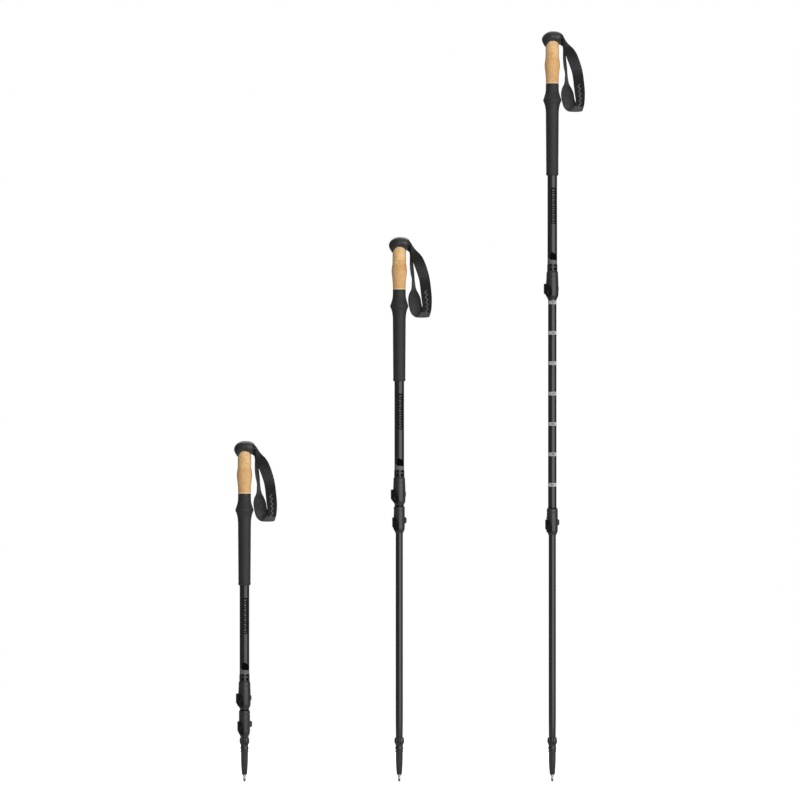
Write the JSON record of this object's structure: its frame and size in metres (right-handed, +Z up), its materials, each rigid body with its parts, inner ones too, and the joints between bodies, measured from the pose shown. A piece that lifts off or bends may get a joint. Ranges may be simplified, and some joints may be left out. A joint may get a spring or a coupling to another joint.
{
  "type": "telescoping trekking pole set",
  "caption": "Slim telescoping walking poles with cork and foam grips, wrist straps, cam-lever clamps and metal tips, standing side by side at different lengths.",
  "frame": {"origin": "centre of the medium pole's metal tip, on the ground", "axes": "+Z up along the poles, +X towards the wrist straps and from the short pole to the long one, +Y away from the levers' finger pads"},
  "size_m": [0.5863, 0.0354, 1.2513],
  "materials": {
    "cork": "matt pressed cork",
    "foam": "matt closed-cell foam, embossed",
    "moulding": "fine-textured black plastic",
    "shaft": "satin black anodised aluminium",
    "tip_metal": "bright turned metal",
    "pin_steel": "plain steel pin",
    "bushing_nylon": "plain nylon",
    "webbing": "woven webbing with a soft padded leaf"
  },
  "bodies": {
    "short_lower_section": {"short_carbide_tip": "tip_metal", "short_tip_ferrule": "moulding", "short_lower_shaft": "shaft", "short_lower_bushing": "bushing_nylon"},
    "short_middle_section": {"short_middle_shaft": "shaft", "short_middle_bushing": "bushing_nylon", "short_lower_clamp": "moulding", "short_lower_lever_pin": "pin_steel"},
    "short_handle_section": {"short_upper_shaft": "shaft", "short_upper_clamp": "moulding", "short_upper_lever_pin": "pin_steel", "short_foam_grip": "foam", "short_cork_grip": "cork", "short_head_cap": "moulding"},
    "short_lower_lever": {"short_lower_lever": "moulding"},
    "short_upper_lever": {"short_upper_lever": "moulding"},
    "short_lower_clamp_screw": {"short_lower_clamp_screw": "moulding"},
    "short_upper_clamp_screw": {"short_upper_clamp_screw": "moulding"},
    "short_strap_wedge": {"short_strap_wedge": "moulding"},
    "short_wrist_strap": {"short_wrist_strap": "webbing"},
    "medium_lower_section": {"medium_carbide_tip": "tip_metal", "medium_tip_ferrule": "moulding", "medium_lower_shaft": "shaft", "medium_lower_bushing": "bushing_nylon"},
    "medium_middle_section": {"medium_middle_shaft": "shaft", "medium_middle_bushing": "bushing_nylon", "medium_lower_clamp": "moulding", "medium_lower_lever_pin": "pin_steel"},
    "medium_handle_section": {"medium_upper_shaft": "shaft", "medium_upper_clamp": "moulding", "medium_upper_lever_pin": "pin_steel", "medium_foam_grip": "foam", "medium_cork_grip": "cork", "medium_head_cap": "moulding"},
    "medium_lower_lever": {"medium_lower_lever": "moulding"},
    "medium_upper_lever": {"medium_upper_lever": "moulding"},
    "medium_lower_clamp_screw": {"medium_lower_clamp_screw": "moulding"},
    "medium_upper_clamp_screw": {"medium_upper_clamp_screw": "moulding"},
    "medium_strap_wedge": {"medium_strap_wedge": "moulding"},
    "medium_wrist_strap": {"medium_wrist_strap": "webbing"},
    "long_lower_section": {"long_carbide_tip": "tip_metal", "long_tip_ferrule": "moulding", "long_lower_shaft": "shaft", "long_lower_bushing": "bushing_nylon"},
    "long_middle_section": {"long_middle_shaft": "shaft", "long_middle_bushing": "bushing_nylon", "long_lower_clamp": "moulding", "long_lower_lever_pin": "pin_steel"},
    "long_handle_section": {"long_upper_shaft": "shaft", "long_upper_clamp": "moulding", "long_upper_lever_pin": "pin_steel", "long_foam_grip": "foam", "long_cork_grip": "cork", "long_head_cap": "moulding"},
    "long_lower_lever": {"long_lower_lever": "moulding"},
    "long_upper_lever": {"long_upper_lever": "moulding"},
    "long_lower_clamp_screw": {"long_lower_clamp_screw": "moulding"},
    "long_upper_clamp_screw": {"long_upper_clamp_screw": "moulding"},
    "long_strap_wedge": {"long_strap_wedge": "moulding"},
    "long_wrist_strap": {"long_wrist_strap": "webbing"}
  },
  "joints": [
    {"name": "short_lift", "type": "slide", "parent": "medium_lower_section", "child": "short_lower_section", "axis": [0, 0, 1], "range_m": [0, 0.04]},
    {"name": "short_lower_slide", "type": "slide", "parent": "short_lower_section", "child": "short_middle_section", "axis": [0, 0, 1], "range_m": [0, 0.35]},
    {"name": "short_middle_slide", "type": "slide", "parent": "short_middle_section", "child": "short_handle_section", "axis": [0, 0, 1], "range_m": [0, 0.35]},
    {"name": "short_lower_lever_hinge", "type": "hinge", "parent": "short_middle_section", "child": "short_lower_lever", "pos_m": [-0.26494, 0.00991, 0.0895], "axis": [0, 0, -1], "range_deg": [0, 125]},
    {"name": "short_lower_screw_turn", "type": "hinge", "parent": "short_middle_section", "child": "short_lower_clamp_screw", "pos_m": [-0.258, 0.0135, 0.095], "axis": [1, 0, 0], "range_deg": [-180, 180]},
    {"name": "short_upper_lever_hinge", "type": "hinge", "parent": "short_handle_section", "child": "short_upper_lever", "pos_m": [-0.26557, 0.01081, 0.1358], "axis": [0, 0, -1], "range_deg": [0, 125]},
    {"name": "short_upper_screw_turn", "type": "hinge", "parent": "short_handle_section", "child": "short_upper_clamp_screw", "pos_m": [-0.258, 0.0135, 0.1386], "axis": [1, 0, 0], "range_deg": [-180, 180]},
    {"name": "short_wedge_slide", "type": "slide", "parent": "short_handle_section", "child": "short_strap_wedge", "axis": [1, 0, 0], "range_m": [0, 0.008]},
    {"name": "short_strap_swing", "type": "hinge", "parent": "short_strap_wedge", "child": "short_wrist_strap", "pos_m": [-0.242, 0, 0.5583], "axis": [0, -1, 0], "range_deg": [0, 60]},
    {"name": "medium_lower_slide", "type": "slide", "parent": "medium_lower_section", "child": "medium_middle_section", "axis": [0, 0, 1], "range_m": [-0.34, 0.01]},
    {"name": "medium_middle_slide", "type": "slide", "parent": "medium_middle_section", "child": "medium_handle_section", "axis": [0, 0, 1], "range_m": [0, 0.35]},
    {"name": "medium_lower_lever_hinge", "type": "hinge", "parent": "medium_middle_section", "child": "medium_lower_lever", "pos_m": [-0.00694, 0.00991, 0.4295], "axis": [0, 0, -1], "range_deg": [0, 125]},
    {"name": "medium_lower_screw_turn", "type": "hinge", "parent": "medium_middle_section", "child": "medium_lower_clamp_screw", "pos_m": [0, 0.0135, 0.435], "axis": [1, 0, 0], "range_deg": [-180, 180]},
    {"name": "medium_upper_lever_hinge", "type": "hinge", "parent": "medium_handle_section", "child": "medium_upper_lever", "pos_m": [-0.00757, 0.01081, 0.4758], "axis": [0, 0, -1], "range_deg": [0, 125]},
    {"name": "medium_upper_screw_turn", "type": "hinge", "parent": "medium_handle_section", "child": "medium_upper_clamp_screw", "pos_m": [0, 0.0135, 0.4786], "axis": [1, 0, 0], "range_deg": [-180, 180]},
    {"name": "medium_wedge_slide", "type": "slide", "parent": "medium_handle_section", "child": "medium_strap_wedge", "axis": [1, 0, 0], "range_m": [0, 0.008]},
    {"name": "medium_strap_swing", "type": "hinge", "parent": "medium_strap_wedge", "child": "medium_wrist_strap", "pos_m": [0.016, 0, 0.8983], "axis": [0, -1, 0], "range_deg": [0, 60]},
    {"name": "long_lift", "type": "slide", "parent": "medium_lower_section", "child": "long_lower_section", "axis": [0, 0, 1], "range_m": [0, 0.04]},
    {"name": "long_lower_slide", "type": "slide", "parent": "long_lower_section", "child": "long_middle_section", "axis": [0, 0, 1], "range_m": [-0.3365, 0.0135]},
    {"name": "long_middle_slide", "type": "slide", "parent": "long_middle_section", "child": "long_handle_section", "axis": [0, 0, 1], "range_m": [-0.3465, 0.0035]},
    {"name": "long_lower_lever_hinge", "type": "hinge", "parent": "long_middle_section", "child": "long_lower_lever", "pos_m": [0.24806, 0.00991, 0.426], "axis": [0, 0, -1], "range_deg": [0, 125]},
    {"name": "long_lower_screw_turn", "type": "hinge", "parent": "long_middle_section", "child": "long_lower_clamp_screw", "pos_m": [0.255, 0.0135, 0.4315], "axis": [1, 0, 0], "range_deg": [-180, 180]},
    {"name": "long_upper_lever_hinge", "type": "hinge", "parent": "long_handle_section", "child": "long_upper_lever", "pos_m": [0.24743, 0.01081, 0.8188], "axis": [0, 0, -1], "range_deg": [0, 125]},
    {"name": "long_upper_screw_turn", "type": "hinge", "parent": "long_handle_section", "child": "long_upper_clamp_screw", "pos_m": [0.255, 0.0135, 0.8216], "axis": [1, 0, 0], "range_deg": [-180, 180]},
    {"name": "long_wedge_slide", "type": "slide", "parent": "long_handle_section", "child": "long_strap_wedge", "axis": [1, 0, 0], "range_m": [0, 0.008]},
    {"name": "long_strap_swing", "type": "hinge", "parent": "long_strap_wedge", "child": "long_wrist_strap", "pos_m": [0.271, 0, 1.2413], "axis": [0, -1, 0], "range_deg": [0, 60]}
  ]
}
